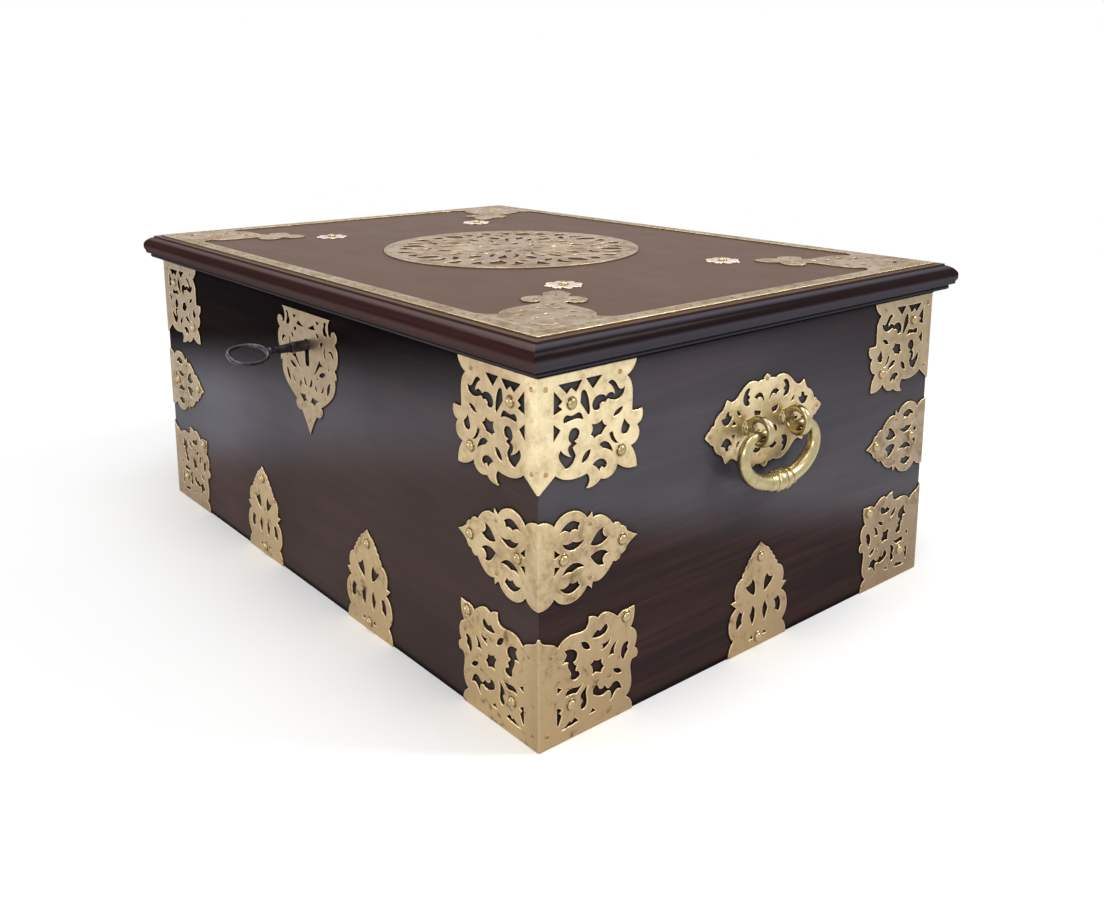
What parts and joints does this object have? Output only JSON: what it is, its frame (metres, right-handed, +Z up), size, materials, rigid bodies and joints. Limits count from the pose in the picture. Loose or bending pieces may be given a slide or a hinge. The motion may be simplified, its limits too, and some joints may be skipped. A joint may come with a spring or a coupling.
{
  "type": "lidded chest",
  "caption": "Low rectangular lidded dowry chest of dark wood bound with pierced brass plates, with end bail handles and a front lock and key.",
  "frame": {"origin": "middle of the chest's flat underside", "axes": "+X along the chest's length towards the right end as seen from the front, -Y towards the front with the lock, +Z up"},
  "size_m": [0.868, 0.6909, 0.3681],
  "materials": {
    "dark_lacquered_wood": "satin lacquer, very dark reddish brown",
    "aged_brass": "aged, softly polished pale brass",
    "dark_iron": "blackened, worn smooth"
  },
  "bodies": {
    "case": {"front_board": "dark_lacquered_wood", "right_board": "dark_lacquered_wood", "back_board": "dark_lacquered_wood", "left_board": "dark_lacquered_wood", "bottom_board": "dark_lacquered_wood", "rim_moulding_front": "dark_lacquered_wood", "rim_moulding_right": "dark_lacquered_wood", "rim_moulding_back": "dark_lacquered_wood", "rim_moulding_left": "dark_lacquered_wood", "upper_bracket_front_right": "aged_brass", "upper_bracket_back_right": "aged_brass", "upper_bracket_back_left": "aged_brass", "upper_bracket_front_left": "aged_brass", "middle_bracket_front_right": "aged_brass", "middle_bracket_back_right": "aged_brass", "middle_bracket_back_left": "aged_brass", "middle_bracket_front_left": "aged_brass", "lower_bracket_front_right": "aged_brass", "lower_bracket_back_right": "aged_brass", "lower_bracket_back_left": "aged_brass", "lower_bracket_front_left": "aged_brass", "leaf_mount_front_left": "aged_brass", "leaf_mount_front_right": "aged_brass", "leaf_mount_right": "aged_brass", "leaf_mount_left": "aged_brass", "escutcheon_plate": "aged_brass", "handle_plate_right": "aged_brass", "handle_plate_left": "aged_brass", "case_studs": "aged_brass", "case_pins": "aged_brass", "handle_eyes": "aged_brass", "handle_nuts": "dark_iron", "lock_plate": "dark_iron", "lock_case": "dark_iron", "lock_screws": "dark_iron", "lower_hinge_leaves": "aged_brass", "hinge_pins": "aged_brass", "lower_hinge_screws": "dark_iron"},
    "lid": {"lid_panel": "dark_lacquered_wood", "lid_moulding_front": "dark_lacquered_wood", "lid_moulding_right": "dark_lacquered_wood", "lid_moulding_back": "dark_lacquered_wood", "lid_moulding_left": "dark_lacquered_wood", "lid_border_strips": "aged_brass", "lid_corner_front_right": "aged_brass", "lid_corner_back_right": "aged_brass", "lid_corner_back_left": "aged_brass", "lid_corner_front_left": "aged_brass", "lid_rosettes": "aged_brass", "lid_medallion": "aged_brass", "lid_studs": "aged_brass", "lid_pins": "aged_brass", "lock_strike": "dark_iron", "strike_screws": "dark_iron", "upper_hinge_leaves": "aged_brass", "upper_hinge_screws": "dark_iron"},
    "bolt": {"lock_bolt": "dark_iron"},
    "key": {"key": "dark_iron"},
    "bail_right": {"bail_handle_right": "aged_brass"},
    "bail_left": {"bail_handle_left": "aged_brass"}
  },
  "joints": [
    {"name": "lid_hinge", "type": "hinge", "parent": "case", "child": "lid", "pos_m": [0, 0.31015, 0.34045], "axis": [-1, 0, 0], "range_deg": [0, 100]},
    {"name": "key_turn", "type": "hinge", "parent": "case", "child": "key", "pos_m": [0.008, -0.286, 0.286], "axis": [0, -1, 0], "range_deg": [-67, 150]},
    {"name": "bolt_slide", "type": "slide", "parent": "case", "child": "bolt", "axis": [-1, 0, 0], "range_m": [-0.00371, 0.0083]},
    {"name": "right_bail_swing", "type": "hinge", "parent": "case", "child": "bail_right", "pos_m": [0.4195, 0, 0.234], "axis": [0, -1, 0], "range_deg": [-6, 186]},
    {"name": "left_bail_swing", "type": "hinge", "parent": "case", "child": "bail_left", "pos_m": [-0.4195, 0, 0.234], "axis": [0, 1, 0], "range_deg": [-6, 186]}
  ],
  "couplings": [
    {"joint": "bolt_slide", "follows": "key_turn", "m_per_rad": 0.0031684}
  ]
}
